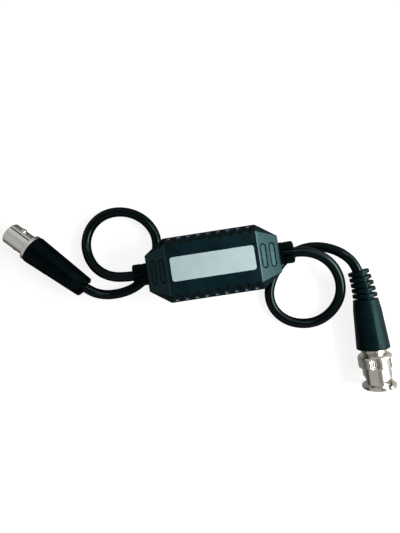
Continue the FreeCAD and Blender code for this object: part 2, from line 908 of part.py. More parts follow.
def wave_washer():
    """A thin ring with waves, held between the nut's web and the plug body's flange."""
    middle = past_boot((nut_web_end + body_flange_start) / 2)
    swing = (body_flange_start - nut_web_end - washer_thickness) / 2 - washer_clearance
    steps = 12 * washer_waves

    def crest(radius):
        points = []
        for i in range(steps):
            a = 2 * pi * i / steps
            along = middle - washer_thickness / 2 + swing * cos(washer_waves * a)
            points.append(V(along, radius * sin(a), radius * cos(a)))
        curve = Part.BSplineCurve()
        curve.interpolate(Points=points, PeriodicFlag=True)
        return curve.toShape()

    face = Part.makeRuledSurface(crest(washer_inner_radius), crest(washer_outer_radius))
    return face.extrude(V(washer_thickness, 0, 0))


def retaining_ring():
    start = past_boot(ring_start)
    ring = sleeve(ring_inner_radius, ring_outer_radius, start, start + ring_thickness)
    half = ring_outer_radius * tan(radians(ring_gap_angle / 2))
    gap = block(0, far, -half, half, -far, 0)
    return ring.cut(gap)


def bayonet_slot():
    """A cutter for one bayonet slot: straight in from the rim, a ramp round the barrel and a round stop."""
    rim = past_boot(nut_start + nut_length)
    turn_in = rim - nut_slot_entry
    inner, outer = nut_bore_radius - past, nut_rim_radius + past
    half = nut_slot_width / 2
    entry = block(turn_in - half, rim + past, -half, half, inner, outer)
    helix = Part.makeHelix(nut_slot_rise * 360 / nut_slot_sweep, nut_slot_rise, nut_bore_radius)
    corners = [V(inner, 0, -half), V(outer, 0, -half), V(outer, 0, half), V(inner, 0, half)]
    profile = Part.makePolygon(corners + corners[:1])
    ramp = Part.Wire(helix.Edges).makePipeShell([profile], True, True)
    ramp = turn(ramp, Y_AXIS, -90)
    ramp.translate(V(turn_in, 0, 0))
    stop = rod(detent_radius, inner, outer, Z_AXIS, V(turn_in - nut_slot_rise + detent_back, 0, 0))
    return [entry, ramp, turn(stop, X_AXIS, -nut_slot_sweep)]


def knurled_band(start, end):
    corners = []
    for i in range(2 * nut_knurl_teeth):
        angle = pi * i / nut_knurl_teeth
        radius = nut_knurl_radius - nut_knurl_depth * (i % 2)
        corners.append(V(start, radius * sin(angle), radius * cos(angle)))
    return Part.Face(Part.makePolygon(corners + corners[:1])).extrude(V(end - start, 0, 0))


def coupling_nut():
    start = past_boot(nut_start)
    rim = start + nut_length
    knurl_start = start + nut_shoulder_length
    knurl_end = knurl_start + nut_knurl_length
    step_end = knurl_end + nut_step_length
    rim_start = rim - nut_rim_length
    bore = journal_radius + journal_clearance
    groove_start = past_boot(ring_start - ring_axial_clearance)
    groove_end = past_boot(ring_start + ring_thickness + ring_axial_clearance)
    groove_radius = ring_outer_radius + ring_radial_clearance
    nut = turned([
        (start, bore),
        (start, nut_shoulder_radius - nut_chamfer),
        (start + nut_chamfer, nut_shoulder_radius),
        (step_end - nut_chamfer, nut_shoulder_radius),
        (step_end, nut_barrel_radius),
        (rim_start - nut_flare_length, nut_barrel_radius),
        (rim_start, nut_rim_radius),
        (rim - edge_break, nut_rim_radius),
        (rim, nut_rim_radius - edge_break),
        (rim, nut_bore_radius + edge_break),
        (rim - edge_break, nut_bore_radius),
        (past_boot(nut_web_end), nut_bore_radius),
        (past_boot(nut_web_end), bore),
        (groove_end, bore),
        (groove_end, groove_radius),
        (groove_start, groove_radius),
        (groove_start, bore),
    ])
    core = rod((nut_bore_radius + nut_barrel_radius) / 2, start, rim)
    nut = join(nut, knurled_band(knurl_start, knurl_end).cut(core))
    cutters = []
    for half in (0, 180):
        cutters += [turn(c, X_AXIS, half - nut_slot_turn) for c in bayonet_slot()]
    return nut.cut(cutters)


jack = Frame(V(*jack_entry), jack_heading)
plug = plug_frame()
parts = {
    "upper_shell": upper_shell(),
    "lower_shell": lower_shell(),
    "label": label(),
    "strain_relief_left": half_turned(strain_relief()),
    "strain_relief_right": strain_relief(),
    "inner_cable_left": half_turned(inner_cable()),
    "inner_cable_right": inner_cable(),
    "core_wire_left": half_turned(inner_wire(1, core_wire_radius)),
    "core_wire_right": inner_wire(1, core_wire_radius),
    "braid_tail_left": half_turned(inner_wire(-1, braid_tail_radius)),
    "braid_tail_right": inner_wire(-1, braid_tail_radius),
    "circuit_board": board(),
    "toroid_core": toroid_core(),
    "winding_input": winding(180),
    "winding_output": winding(0),
    "capacitor_input": half_turned(capacitor()),
    "capacitor_output": capacitor(),
    "cable_left": tube(left_route + lead_in(jack_entry, jack_heading), cable_radius),
    "cable_right": tube(right_route + lead_in(plug_entry, plug_heading + plug_relief_bend), cable_radius),
    "jack_boot": jack.place(jack_boot()),
    "jack_inner_cable": jack.place(connector_stub(spigot_start_jack)),
    "jack_ferrule": jack.place(ferrule(spigot_start_jack)),
    "jack_shell": jack.place(jack_shell()),
    "jack_insulator": jack.place(jack_insulator()),
    "jack_contact": jack.place(jack_contact()),
    "plug_boot": plug.place(plug_boot()),
    "plug_inner_cable": plug.place(plug_stub()),
    "plug_ferrule": plug.place(ferrule(spigot_start_plug)),
    "plug_body": plug.place(plug_body()),
    "plug_insulator": plug.place(plug_insulator()),
    "plug_pin": plug.place(plug_pin()),
    "plug_gasket": plug.place(plug_gasket()),
    "wave_washer": plug.place(wave_washer()),
    "retaining_ring": plug.place(retaining_ring()),
    "coupling_nut": plug.place(coupling_nut()),
}

os.makedirs("parts", exist_ok=True)
for name, shape in parts.items():
    solids = shape.Solids
    whole = solids[0] if len(solids) == 1 else Part.makeCompound(solids)
    print(name, "solids", len(solids), "valid", whole.isValid(), "volume", round(whole.Volume, 1))
    whole.exportStep(f"parts/{name}.step")
print("jack at", jack.at, "mouth at", round(mouth, 2))
print("plug at", plug.at, "rim at", round(past_boot(nut_start + nut_length), 2))
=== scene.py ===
# %% [markdown]
# # A video ground loop isolator, dressed for its portrait
#
# The part is a small black box in a camera cable. A toroid inside it passes the picture and stops the hum,
# and a coax pigtail leaves each end, one with a bayonet jack and one with a bayonet plug. The solids come
# packed from CAD. This script lays the two cables, gives each piece its finish, and sets the light and the
# camera.

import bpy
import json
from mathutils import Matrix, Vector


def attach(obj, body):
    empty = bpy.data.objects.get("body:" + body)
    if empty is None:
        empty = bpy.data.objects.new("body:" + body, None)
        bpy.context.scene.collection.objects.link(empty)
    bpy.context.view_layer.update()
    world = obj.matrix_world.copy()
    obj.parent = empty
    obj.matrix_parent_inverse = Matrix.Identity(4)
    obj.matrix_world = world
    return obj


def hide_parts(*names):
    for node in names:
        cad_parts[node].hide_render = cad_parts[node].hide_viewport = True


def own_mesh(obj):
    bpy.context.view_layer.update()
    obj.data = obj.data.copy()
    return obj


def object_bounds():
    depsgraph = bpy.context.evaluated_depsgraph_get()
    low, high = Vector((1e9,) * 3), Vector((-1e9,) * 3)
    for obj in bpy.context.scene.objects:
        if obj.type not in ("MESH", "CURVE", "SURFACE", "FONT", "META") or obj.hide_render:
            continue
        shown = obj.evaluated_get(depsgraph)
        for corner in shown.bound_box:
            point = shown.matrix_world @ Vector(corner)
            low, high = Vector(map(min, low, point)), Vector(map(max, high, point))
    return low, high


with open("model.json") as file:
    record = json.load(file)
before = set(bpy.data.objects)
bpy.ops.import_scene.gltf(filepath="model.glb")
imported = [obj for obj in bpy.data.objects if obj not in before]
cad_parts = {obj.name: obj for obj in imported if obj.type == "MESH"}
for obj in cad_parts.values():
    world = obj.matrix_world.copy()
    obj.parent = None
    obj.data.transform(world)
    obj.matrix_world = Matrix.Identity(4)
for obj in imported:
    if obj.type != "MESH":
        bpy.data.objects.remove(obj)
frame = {"nodes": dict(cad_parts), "record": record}
cad_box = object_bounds()

# %% [markdown]
# ## Lengths
#
# Blender counts in metres and the part is drawn in millimetres, so a length is written in millimetres and
# multiplied by mm where Blender takes it. The places where cables and connectors meet are named once,
# because the cables' routes and the connectors' finishes both start from them.

# %% Imports and lengths
import json
from math import cos, pi, radians, sin

import bpy
from mathutils import Matrix, Vector

mm = 0.001


def metres(points):
    """Points that are written in millimetres, as vectors in metres."""
    return [Vector(p) * mm for p in points]


exit_height = 10.3                                  # the cables leave at half the housing's height
jack_entry = (-57.5, -1.65, 6.45)                   # where the left cable enters its boot
plug_entry = (61.2, -12.3, 7.3)
jack_heading = 135.5                                # which way the jack points, in degrees from X towards Y
plug_heading = -90.0
plug_lead_heading = -81.0                           # the cable comes into the plug's boot a little aslant
plug_east, plug_up = 62.484, 7.3                    # the plug's axis, which runs along Y

low, high = cad_box
print("CAD box in mm:", [round(x / mm, 1) for x in low], [round(x / mm, 1) for x in high])

# %% [markdown]
# ## The camera
#
# The photograph is taken by hand from about 18 cm above the housing, almost straight down, so the near tops
# look larger than what lies on the floor. A camera is three things: a place, a lens and three directions.
# Here the directions are written as the picture's right and up. Blender's camera looks along its own -Z, so
# the third column of its matrix is the way back from the object to the camera.

# %% Place the camera
picture_right = Vector((0.98808, -0.15054, -0.03204))
picture_up = Vector((0.15109, 0.9884, 0.01548))
way_back = picture_right.cross(picture_up)
camera_place = Vector((-0.654, -3.66, 181.695)) * mm
lens, sensor = 27.02, 36.0                          # in millimetres, as lenses are sold

camera = bpy.data.objects.new("camera", bpy.data.cameras.new("camera"))
bpy.context.scene.collection.objects.link(camera)
turned = Matrix((picture_right, picture_up, way_back)).transposed().to_4x4()
camera.matrix_world = Matrix.Translation(camera_place) @ turned
camera.data.lens, camera.data.sensor_width = lens, sensor
camera.data.clip_start = 10 * mm
bpy.context.scene.camera = camera
bpy.context.scene.view_settings.view_transform = "Standard"
print("camera at", [round(x / mm) for x in camera.location], "mm")

# %% [markdown]
# ## The wave washer
#
# Under the coupling nut sits a thin spring ring, stamped from steel strip and pressed into three waves. It
# pushes the nut back, and it flattens when the nut is drawn forward, so it can't stay a rigid piece of the
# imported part. The ring starts as a circle whose edge is extruded and scaled outward. Three of its spokes are
# then lifted with proportional editing: the smooth falloff reaches as far as the next trough, so the lift
# comes out as a wave. Solidify gives it the strip's thickness, and a small bevel rounds the stamped edge.

# %% Model the wave washer
washer_middle, washer_foot = -51.593, -52.068       # along the plug
washer_place = Vector((plug_east, washer_middle, plug_up)) * mm
inner_radius, outer_radius = 4.42 * mm, 4.78 * mm
wave_height = 0.71 * mm
strip_thickness = 0.2 * mm
edge_radius = 0.03 * mm
spokes = 72
crests = (90, 210, 330)                             # in degrees, one of them upward on the finished part

bpy.ops.object.select_all(action="DESELECT")
bpy.ops.mesh.primitive_circle_add(vertices=spokes, radius=inner_radius, location=(0, 0, 0))
washer = bpy.context.active_object
washer.name = "sprung_washer"
bpy.ops.object.mode_set(mode="EDIT")
bpy.ops.mesh.select_mode(type="VERT")
bpy.ops.mesh.extrude_region_move()
bpy.ops.transform.resize(value=(outer_radius / inner_radius,) * 3, center_override=(0, 0, 0))

bpy.ops.mesh.select_all(action="DESELECT")
bpy.ops.object.mode_set(mode="OBJECT")
for crest in crests:
    direction = Vector((cos(radians(crest)), sin(radians(crest)), 0.0))
    for vertex in washer.data.vertices:
        if vertex.co.normalized().dot(direction) > 0.9999:
            vertex.select = True
bpy.ops.object.mode_set(mode="EDIT")
bpy.ops.transform.translate(value=(0, 0, wave_height), use_proportional_edit=True,
                            proportional_edit_falloff="SMOOTH",
                            proportional_size=(inner_radius + outer_radius) / 2)
bpy.ops.mesh.select_all(action="SELECT")
bpy.ops.transform.translate(value=(0, 0, -wave_height / 2))
bpy.ops.mesh.normals_make_consistent(inside=False)
bpy.ops.object.mode_set(mode="OBJECT")

strip = washer.modifiers.new("strip", "SOLIDIFY")
strip.thickness, strip.offset = strip_thickness, 0.0
edge = washer.modifiers.new("edge", "BEVEL")
edge.width, edge.segments, edge.limit_method = edge_radius, 2, "ANGLE"
for modifier in ("strip", "edge"):
    bpy.ops.object.modifier_apply(modifier=modifier)

# the waves now run along Z, and on the part they run along the plug
washer.rotation_euler = (radians(90), 0, 0)
washer.location = washer_place
bpy.ops.object.transform_apply(location=True, rotation=True, scale=False)
bpy.ops.object.shade_smooth_by_angle(angle=radians(40))
spots = [vertex.co / mm for vertex in washer.data.vertices]
spans = [round(max(s[i] for s in spots) - min(s[i] for s in spots), 2) for i in range(3)]
print("washer spans in mm:", spans, "faces:", len(washer.data.polygons))

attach(washer, "isolator")
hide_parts("wave_washer")
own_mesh(washer)

# %% [markdown]
# ## The cables
#
# Each pigtail is 4.3 mm coax that leaves its strain relief straight, drops to the floor, makes one loose
# ring and comes back under or over itself to its connector. A cable is one smooth line with a round section,
# so a curve with a bevel is the natural way: the route's points are the curve's control points, and NURBS
# rounds its corners as a bent cable does. The order is set after the points are there, because a spline with
# too few points falls back to straight runs. The thickness is set on the points, with a bevel one metre
# deep, because Blender adds a point's radius to the curve's box as it stands, and a radius of 1 would make
# the box 2 m wide.

# %% Lay the two cables
cable_diameter = 4.3
floor_height = cable_diameter / 2

left_route = metres([
    (-29.75, 0.0, exit_height), (-37.6, 0.0, exit_height), (-45.2, 1.3, 8.4), (-51.6, 5.5, 5.6),
    (-55.2, 11.9, 3.2), (-55.6, 19.2, floor_height), (-52.1, 25.7, floor_height),
    (-45.9, 29.7, floor_height), (-38.6, 30.3, floor_height), (-31.7, 28.0, floor_height),
    (-26.3, 23.3, floor_height), (-23.3, 16.7, floor_height), (-24.0, 9.6, floor_height),
    (-27.1, 3.1, floor_height), (-31.6, -2.4, floor_height), (-37.8, -5.6, floor_height),
    (-44.1, -6.7, floor_height), (-50.3, -6.3, 3.4),
])
right_route = metres([
    (29.75, 0.0, exit_height), (37.9, 0.0, exit_height), (45.3, -2.7, 9.6), (50.8, -8.0, 8.7),
    (53.4, -15.2, 7.1), (52.7, -22.6, 5.3), (48.6, -28.6, 3.3), (42.2, -32.1, 2.3),
    (34.9, -32.2, floor_height), (28.1, -29.4, floor_height), (23.4, -23.8, floor_height),
    (22.4, -16.7, floor_height), (25.1, -10.1, floor_height), (29.5, -4.3, floor_height),
    (35.7, -0.4, floor_height), (42.7, 1.4, 2.4), (49.9, 0.2, 3.9), (56.0, -3.4, 6.2),
])


def lead_in(entry, heading):
    """The last run of a cable, from 3 mm before its boot to 3.5 mm inside, straight."""
    place = Vector(entry) * mm
    along = Matrix.Rotation(radians(heading), 3, "Z") @ Vector((1, 0, 0))
    return [place - along * 3.0 * mm, place + along * 3.5 * mm]


def lay_cable(name, route):
    line = bpy.data.curves.new(name, "CURVE")
    line.dimensions = "3D"
    spline = line.splines.new("NURBS")
    spline.points.add(len(route) - 1)
    for point, place in zip(spline.points, route):
        point.co = (*place, 1.0)
        point.radius = cable_diameter / 2 * mm
    spline.order_u = 3
    spline.use_endpoint_u = True
    spline.resolution_u = 8
    line.bevel_depth = 1.0
    line.bevel_resolution = 7
    line.use_fill_caps = True
    cable = bpy.data.objects.new(name, line)
    bpy.context.scene.collection.objects.link(cable)
    print(name, "follows", len(route), "points")
    return cable


left_cable = lay_cable("left_pigtail", left_route + lead_in(jack_entry, jack_heading))
right_cable = lay_cable("right_pigtail", right_route + lead_in(plug_entry, plug_lead_heading))

# %% [markdown]
# ## The pieces listed with each cable
#
# The jack's pieces are listed for the left cable, and the plug's pieces, the nut, its ring and its washer
# for the right one. Each cable is attached to the isolator's body, and the CAD node it stands in for is
# hidden.

jack_pieces = [n for n in frame["nodes"] if n.startswith("jack_")]
plug_pieces = [n for n in frame["nodes"] if n.startswith("plug_")]
plug_pieces += ["retaining_ring", "coupling_nut", washer]
for cable, node, exit_x, length, on_it in [
    (left_cable, "cable_left", -34.15, 135.1, jack_pieces),
    (right_cable, "cable_right", 34.15, 139.4, plug_pieces),
]:
    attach(cable, "isolator")
    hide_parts(node)
    print(cable.name, "carries", len(on_it), "pieces")

# %% [markdown]
# ## Shader maths in plain expressions
#
# A finish is a net of small nodes. Wired by hand, a line such as 1 - mask * 0.3 takes three nodes and three
# links. The first class below wraps a socket so that the same line can be written in Python. The second adds
# any other kind of node in one call, and the third starts a material with its Principled shader.

# %% A socket that knows arithmetic
class Signal:
    """A number, vector, colour or shader that comes out of a node."""

    def __init__(self, net, socket):
        self.net = net
        self.socket = socket

    def maths(self, operation, first, second):
        return self.net.node("ShaderNodeMath", {"operation": operation}, {0: first, 1: second})

    def __add__(self, other):
        return self.maths("ADD", self, other)

    def __sub__(self, other):
        return self.maths("SUBTRACT", self, other)

    def __rsub__(self, other):
        return self.maths("SUBTRACT", other, self)

    def __abs__(self):
        return self.maths("ABSOLUTE", self, 0.0)

    def __mul__(self, other):
        return self.maths("MULTIPLY", self, other)

    __radd__ = __add__
    __rmul__ = __mul__


# %% A net of nodes
def pick(sockets, key):
    """A socket by its number, identifier or name."""
    if isinstance(key, int):
        return sockets[key]
    return next(s for s in sockets if key in (s.identifier, s.name))


class Net:
    """Shader nodes, each added and wired in one call."""

    def __init__(self, tree):
        self.tree = tree

    def feed(self, socket, value):
        if isinstance(value, Signal):
            self.tree.links.new(value.socket, socket)
        elif socket.type == "RGBA":
            socket.default_value = (*value, 1.0)
        else:
            socket.default_value = value

    def node(self, kind, settings=None, sockets=None, output=0):
        made = self.tree.nodes.new(kind)
        for setting, value in (settings or {}).items():
            setattr(made, setting, value)
        for key, value in (sockets or {}).items():
            self.feed(pick(made.inputs, key), value)
        return Signal(self, pick(made.outputs, output))

    def ray_is(self, kind):
        """1 where the ray that looks is of that kind, Camera or Glossy, and 0 elsewhere."""
        return self.node("ShaderNodeLightPath", output=f"Is {kind} Ray")

    def either(self, share, first, second):
        """The second shader by that share, and the first for the rest."""
        return self.node("ShaderNodeMixShader", None, {0: share, 1: first, 2: second})


# %% A material under construction
class Finish(Net):
    """A material: a Principled shader and what feeds it."""

    def __init__(self, name, **plain):
        self.material = bpy.data.materials.new(name)
        self.material.use_nodes = True
        super().__init__(self.material.node_tree)
        self.shader = self.tree.nodes["Principled BSDF"]
        for socket, value in plain.items():
            self.set(socket.replace("_", " ").title().replace("Ior", "IOR"), value)

    def set(self, socket, value):
        self.feed(pick(self.shader.inputs, socket), value)

    def place(self):
        return self.node("ShaderNodeTexCoord", output="Object")

    def along(self, axis):
        """The place on the piece along one axis, in millimetres, X 0, Y 1 or Z 2."""
        return self.node("ShaderNodeSeparateXYZ", None, {"Vector": self.place()}, axis) * (1 / mm)

    def stretched(self, scale, turn=0.0):
        """The place on the piece, scaled along its axes and turned about the vertical."""
        return self.node("ShaderNodeMapping", None, {
            "Vector": self.place(), "Scale": scale, "Rotation": (0.0, 0.0, turn)})

    def noise(self, scale, detail=3.0, rough=0.5, where=None):
        return self.node("ShaderNodeTexNoise", None, {
            "Vector": where or self.place(), "Scale": scale, "Detail": detail, "Roughness": rough}, "Fac")

    def ramp(self, value, start, end):
        """0 up to start, 1 from end, and a straight rise between."""
        return self.node("ShaderNodeMapRange", {"clamp": True}, {
            "Value": value, "From Min": start, "From Max": end}, "Result")

    def off_centre(self, value, pitch):
        """How far the value is from the nearest of many centres, one pitch apart and one of them at 0."""
        return self.node("ShaderNodeMath", {"operation": "PINGPONG"}, {0: value, 1: pitch / 2})

    def larger(self, first, second):
        return self.node("ShaderNodeMath", {"operation": "MAXIMUM"}, {0: first, 1: second})

    def size_of(self, *parts):
        """The length of a vector from its three parts."""
        vector = self.node("ShaderNodeCombineXYZ", None, dict(zip("XYZ", parts)))
        return self.node("ShaderNodeVectorMath", {"operation": "LENGTH"}, {"Vector": vector}, "Value")

    def blend(self, mask, first, second):
        return self.node("ShaderNodeMix", {"data_type": "RGBA"}, {
            "Factor_Float": mask, "A_Color": first, "B_Color": second}, "Result_Color")

    def bump(self, height, depth, strength):
        """Tilts the shading as a relief of that depth in millimetres would."""
        self.set("Normal", self.node("ShaderNodeBump", None, {
            "Height": height, "Distance": depth * mm, "Strength": strength}, "Normal"))


print("shader helpers ready")

# %% [markdown]
# ## Moulded black
#
# The housing, boots and strain reliefs are injection moulded. Such black is never flat: the tool's spark
# eroded grain breaks the shine into fine sparkle, handling leaves faint dull patches, and dust sits in the
# grain. The colour here is a cold black with green and blue in it, and its shine is cold too. Three noises
# do the rest: a coarse one for the dull patches, a fine one for the grain's relief, and a sparse one for
# dust. A noise's scale counts its bumps in a metre, so 90 gives patches about a centimetre wide, and 2600
# gives grain finer than half a millimetre.

# %% Moulded plastic
cold_shine = [0.45, 0.95, 1.0]
dust_grey = [0.14, 0.16, 0.16]


def moulded(name, colour, shine, grain=2600.0, grain_depth=0.03, dust=0.0, specular=0.1, wear_and_painted_light=None):
    finish = Finish(name, specular_ior_level=specular, specular_tint=cold_shine, coat_roughness=0.12)
    patches = finish.noise(90.0, 2.0)
    fine = finish.noise(grain, 3.0, 0.6)
    light = [min(1.0, c * 1.7 + 0.001) for c in colour]
    skin = finish.blend(finish.ramp(patches, 0.35, 0.7), colour, light)
    specks = finish.ramp(finish.noise(1300.0, 4.0, 0.7), 0.66, 0.74) * dust
    skin = finish.blend(specks, skin, dust_grey)
    dull = shine + (patches - 0.5) * 0.2 + (fine - 0.5) * 0.12
    # marks added after the skin; on the housing these are polish, duller floors, a painted highlight and
    # painted shade
    if wear_and_painted_light:
        skin, dull = wear_and_painted_light(finish, skin, dull)
    finish.set("Base Color", skin)
    finish.set("Roughness", dull)
    finish.bump(fine, grain_depth, 0.5)
    return finish.material


# %% [markdown]
# ## Wear, painted highlights and painted shade on the housing
#
# Three places on the housing differ from the rest. A pale arc is painted on the lower lip of each flute:
# a painted highlight, where the ball that ends the flute would catch the light. In the recesses of the end
# slopes the floor is a little duller than the slope, and painted shade in the corner between floor and wall
# outlines them. The crease between roof and end slope is polished by handling, which a thin coat shows: it
# draws a bright line where it mirrors the window. Each is a mask over the distance from a centre, in
# millimetres on the piece itself. The housing is the same on all its sides, so the places along each axis are
# folded over its middle and one mask serves them all. A distance that is known to the face, such as how far a
# point lies down a slope, is the sum of its places, each times the slope's own direction. Where a mask fades,
# the two values are where it is 0 and where it is 1.

# %% Painted highlights on the flutes, painted shade round the recesses and a polished crease
mid_height = exit_height
half_height = mid_height                            # the housing stands on the floor
flute_pitch = 4.15
flutes_reach = 18.8                                 # from the housing's middle, along it
flute_end_deep, flute_end_up = 13.15, 6.97          # the ball that ends a flute, from the housing's middle
flute_end_radius = 1.31
side_down = (0.503, -0.864)                         # down the side's slope, as deep and up
flute_highlight_fades = (0.45, 0.8)                             # down the side's slope, from the ball's centre
recess_pitch = 3.9
recess_start = 20.9
recess_half_run = 3.7                               # from the housing's middle to where a recess turns
recess_stretch = 1.09                               # the slope is longer than its shadow on the floor
recess_floor_fades = (1.1, 0.9)                     # from a recess's middle line, as the next two
# where the painted shade round a recess fades in and out
recess_shade_inside_fades = (0.76, 0.94)
recess_shade_outside_fades = (1.54, 1.44)
crease_across = 18.7
crease_fades = (0.45, 0.30)
slope_out = (0.51, 0.86)                            # out of the end slope, as across and up
slope_depth_fades = (-1.2, -0.9)                    # under the end slope's skin
# the colour of the painted highlight on each flute's lower lip
flute_highlight_grey = [0.13, 0.17, 0.18]
# the colour of the painted shade round each recess's floor
recess_shade_black = [0.0005, 0.0015, 0.0020]


def housing_wear_and_painted_light(finish, skin, dull):
    across = abs(finish.along(0))
    deep = abs(finish.along(1))
    up = abs(finish.along(2) - mid_height)

    deep_off, up_off = deep - flute_end_deep, up - flute_end_up
    from_ball = finish.size_of(finish.off_centre(across, flute_pitch), deep_off, up_off)
    down_side = deep_off * side_down[0] + up_off * side_down[1]
    # a painted highlight on the lower lip of each flute's end
    flute_highlight = finish.ramp(from_ball, flute_end_radius + 0.05, flute_end_radius)
    flute_highlight = flute_highlight * finish.ramp(down_side, *flute_highlight_fades)
    flute_highlight = flute_highlight * finish.ramp(across, flutes_reach + 0.2, flutes_reach)

    beyond = finish.larger(deep - recess_half_run, 0.0)
    off_row = finish.off_centre(across - recess_start, recess_pitch) * recess_stretch
    from_recess = finish.size_of(off_row, beyond, 0.0)
    out_of_slope = (across - crease_across) * slope_out[0] + (up - half_height) * slope_out[1]
    on_slope = finish.ramp(across, crease_across + 0.5, crease_across + 0.7)
    on_slope = on_slope * finish.ramp(out_of_slope, *slope_depth_fades)
    # painted shade in the corner between each recess's floor and its wall
    recess_shade = finish.ramp(from_recess, *recess_shade_inside_fades) * finish.ramp(from_recess, *recess_shade_outside_fades)
    recess_shade = recess_shade * on_slope
    recess_floor = finish.ramp(from_recess, *recess_floor_fades) * on_slope

    from_crease = finish.size_of(across - crease_across, up - half_height, 0.0)
    finish.set("Coat Weight", finish.ramp(from_crease, *crease_fades) * 0.6)

    # the painted highlight on the flutes goes into the colour
    skin = finish.blend(flute_highlight * 0.9, skin, flute_highlight_grey)
    # the painted shade round the recesses goes into the colour
    skin = finish.blend(recess_shade, skin, recess_shade_black)
    return skin, dull + recess_shade * 0.6 + recess_floor * 0.15


# the housing's finish holds a painted highlight on the flutes and painted shade round the recesses
finishes = {
    "housing": moulded("housing_black", [0.0001, 0.0052, 0.0082], 0.30, dust=0.12, specular=0.44,
                       wear_and_painted_light=housing_wear_and_painted_light),
    "relief": moulded("relief_black", [0.0003, 0.0012, 0.0018], 0.26, grain=1800.0, grain_depth=0.02),
    "jack_boot": moulded("jack_boot_black", [0.0002, 0.0012, 0.0018], 0.28, grain=1500.0,
                         grain_depth=0.02, specular=0.07),
    "plug_boot": moulded("plug_boot_black", [0.0006, 0.0050, 0.0062], 0.42, grain=900.0,
                         grain_depth=0.16, dust=0.5, specular=0.14),
}
print("moulded finishes:", sorted(finishes))

# %% [markdown]
# ## Cable sheath
#
# The sheath is extruded, so it is glossier than anything moulded, and its marks are faint. What one sees of
# it is mostly one thin bright line where it mirrors the window. A low roughness that changes slowly along
# the cable keeps that line alive without making it a chrome strip.

# %% Cable sheath
sheath_shine = [0.6, 0.95, 1.0]


def sheath():
    finish = Finish("sheath_black", specular_ior_level=0.20, specular_tint=sheath_shine)
    slow = finish.noise(160.0, 2.0)
    fine = finish.noise(2200.0, 2.0)
    finish.set("Base Color", finish.blend(slow, [0.0002, 0.0006, 0.0008], [0.0005, 0.0018, 0.0024]))
    finish.set("Roughness", 0.12 + slow * 0.08)
    finish.bump(fine, 0.004, 0.4)
    return finish.material


finishes["cable"] = sheath()
print("sheath ready")

# %% [markdown]
# ## The label
#
# The label is a strip of pale film, slightly blue, bare and a little uneven in its gloss. Fine fibres and a
# faint mottling keep it from reading as a flat white patch. The fibres are a noise that is squeezed across
# the label, so its spots are drawn out along it.

# %% Label film
fibre_squeeze = (1.0, 4.0, 1.0)
fibre_turn = radians(8)


def film():
    finish = Finish("label_film", specular_ior_level=0.5)
    mottle = finish.noise(260.0, 3.0)
    fibre = finish.noise(900.0, 3.0, 0.6, finish.stretched(fibre_squeeze, fibre_turn))
    base = finish.blend(finish.ramp(mottle, 0.35, 0.65), [0.475, 0.615, 0.655], [0.515, 0.655, 0.69])
    pale_fibres = finish.ramp(fibre, 0.55, 0.75) * 0.25
    finish.set("Base Color", finish.blend(pale_fibres, base, [0.57, 0.70, 0.73]))
    finish.set("Roughness", 0.34 + mottle * 0.10)
    finish.bump(fibre, 0.01, 0.4)
    return finish.material


finishes["label_stock"] = film()
print("film ready")

# %% [markdown]
# ## Nickel plate
#
# The connectors are turned brass with a warm nickel plate. A lathe leaves fine rings round the axis, and
# handling adds cloudy, browner patches. Rings round an axis come from a noise that is stretched flat:
# squeezed along the axis and drawn out across it. Each connector lies at its own angle, so the stretch is
# turned to it.
#
# Two places are painted darker, as painted shade: the seam along the jack's barrel, between its floor and the
# skin, and the grooves between the teeth of the nut's knurl. Both masks come from the distance to the
# connector's own axis.

# %% Nickel
# the colour of the painted shade in the jack's seam and in the knurl's grooves
groove_shade_brown = [0.040, 0.036, 0.028]
lathe_rings = (7000.0, 120.0, 120.0)                # fine along the axis and coarse across it


def nickel(name, colour, warm, shine, heading, ring=0.10, painted_groove_shade=None):
    finish = Finish(name, metallic=1.0)
    across = finish.stretched(lathe_rings, -radians(heading))
    rings = finish.noise(1.0, 2.0, 0.5, across)
    clouds = finish.noise(330.0, 3.0, 0.55)
    plate = finish.blend(finish.ramp(clouds, 0.42, 0.72) * 0.5, colour, warm)
    # painted shade in a connector's grooves, where it has them
    if painted_groove_shade:
        plate = finish.blend(painted_groove_shade(finish), plate, groove_shade_brown)
    finish.set("Base Color", plate)
    finish.set("Roughness", shine + (clouds - 0.5) * 0.22 + (rings - 0.5) * ring)
    finish.bump(rings, 0.012, 0.35)
    return finish.material


# %% Painted shade in the connectors' grooves
seam_floor, barrel_skin = 4.30, 4.76                # from the jack's axis
jack_mouth = 41.3                                   # from where the cable enters the boot
knurl_middle, knurl_half = -51.62, 1.9              # along the plug
bore_fades = (6.55, 6.65)                           # from the plug's axis, so the nut's bore stays bright
teeth_fades = (6.94, 6.87)                          # the tips stay bright too


def jack_seam_shade(finish):
    """Painted shade in the seam of the jack's barrel, from its floor to the skin and as far as the mouth."""
    turn = radians(jack_heading)
    east, north = finish.along(0) - jack_entry[0], finish.along(1) - jack_entry[1]
    off_side, off_up = north * cos(turn) - east * sin(turn), finish.along(2) - jack_entry[2]
    from_axis = finish.size_of(off_side, off_up, 0.0)
    behind_mouth = finish.ramp(east * cos(turn) + north * sin(turn), jack_mouth, jack_mouth - 0.1)
    in_wall = finish.ramp(from_axis, seam_floor, seam_floor + 0.06)
    return in_wall * finish.ramp(from_axis, barrel_skin, barrel_skin - 0.06) * behind_mouth


def knurl_groove_shade(finish):
    """Painted shade in the grooves between the teeth of the nut's knurl."""
    from_axis = finish.size_of(finish.along(0) - plug_east, finish.along(2) - plug_up, 0.0)
    off_middle = abs(finish.along(1) - knurl_middle)
    in_grooves = finish.ramp(from_axis, *teeth_fades) * finish.ramp(from_axis, *bore_fades)
    return in_grooves * finish.ramp(off_middle, knurl_half, knurl_half - 0.1) * 0.4


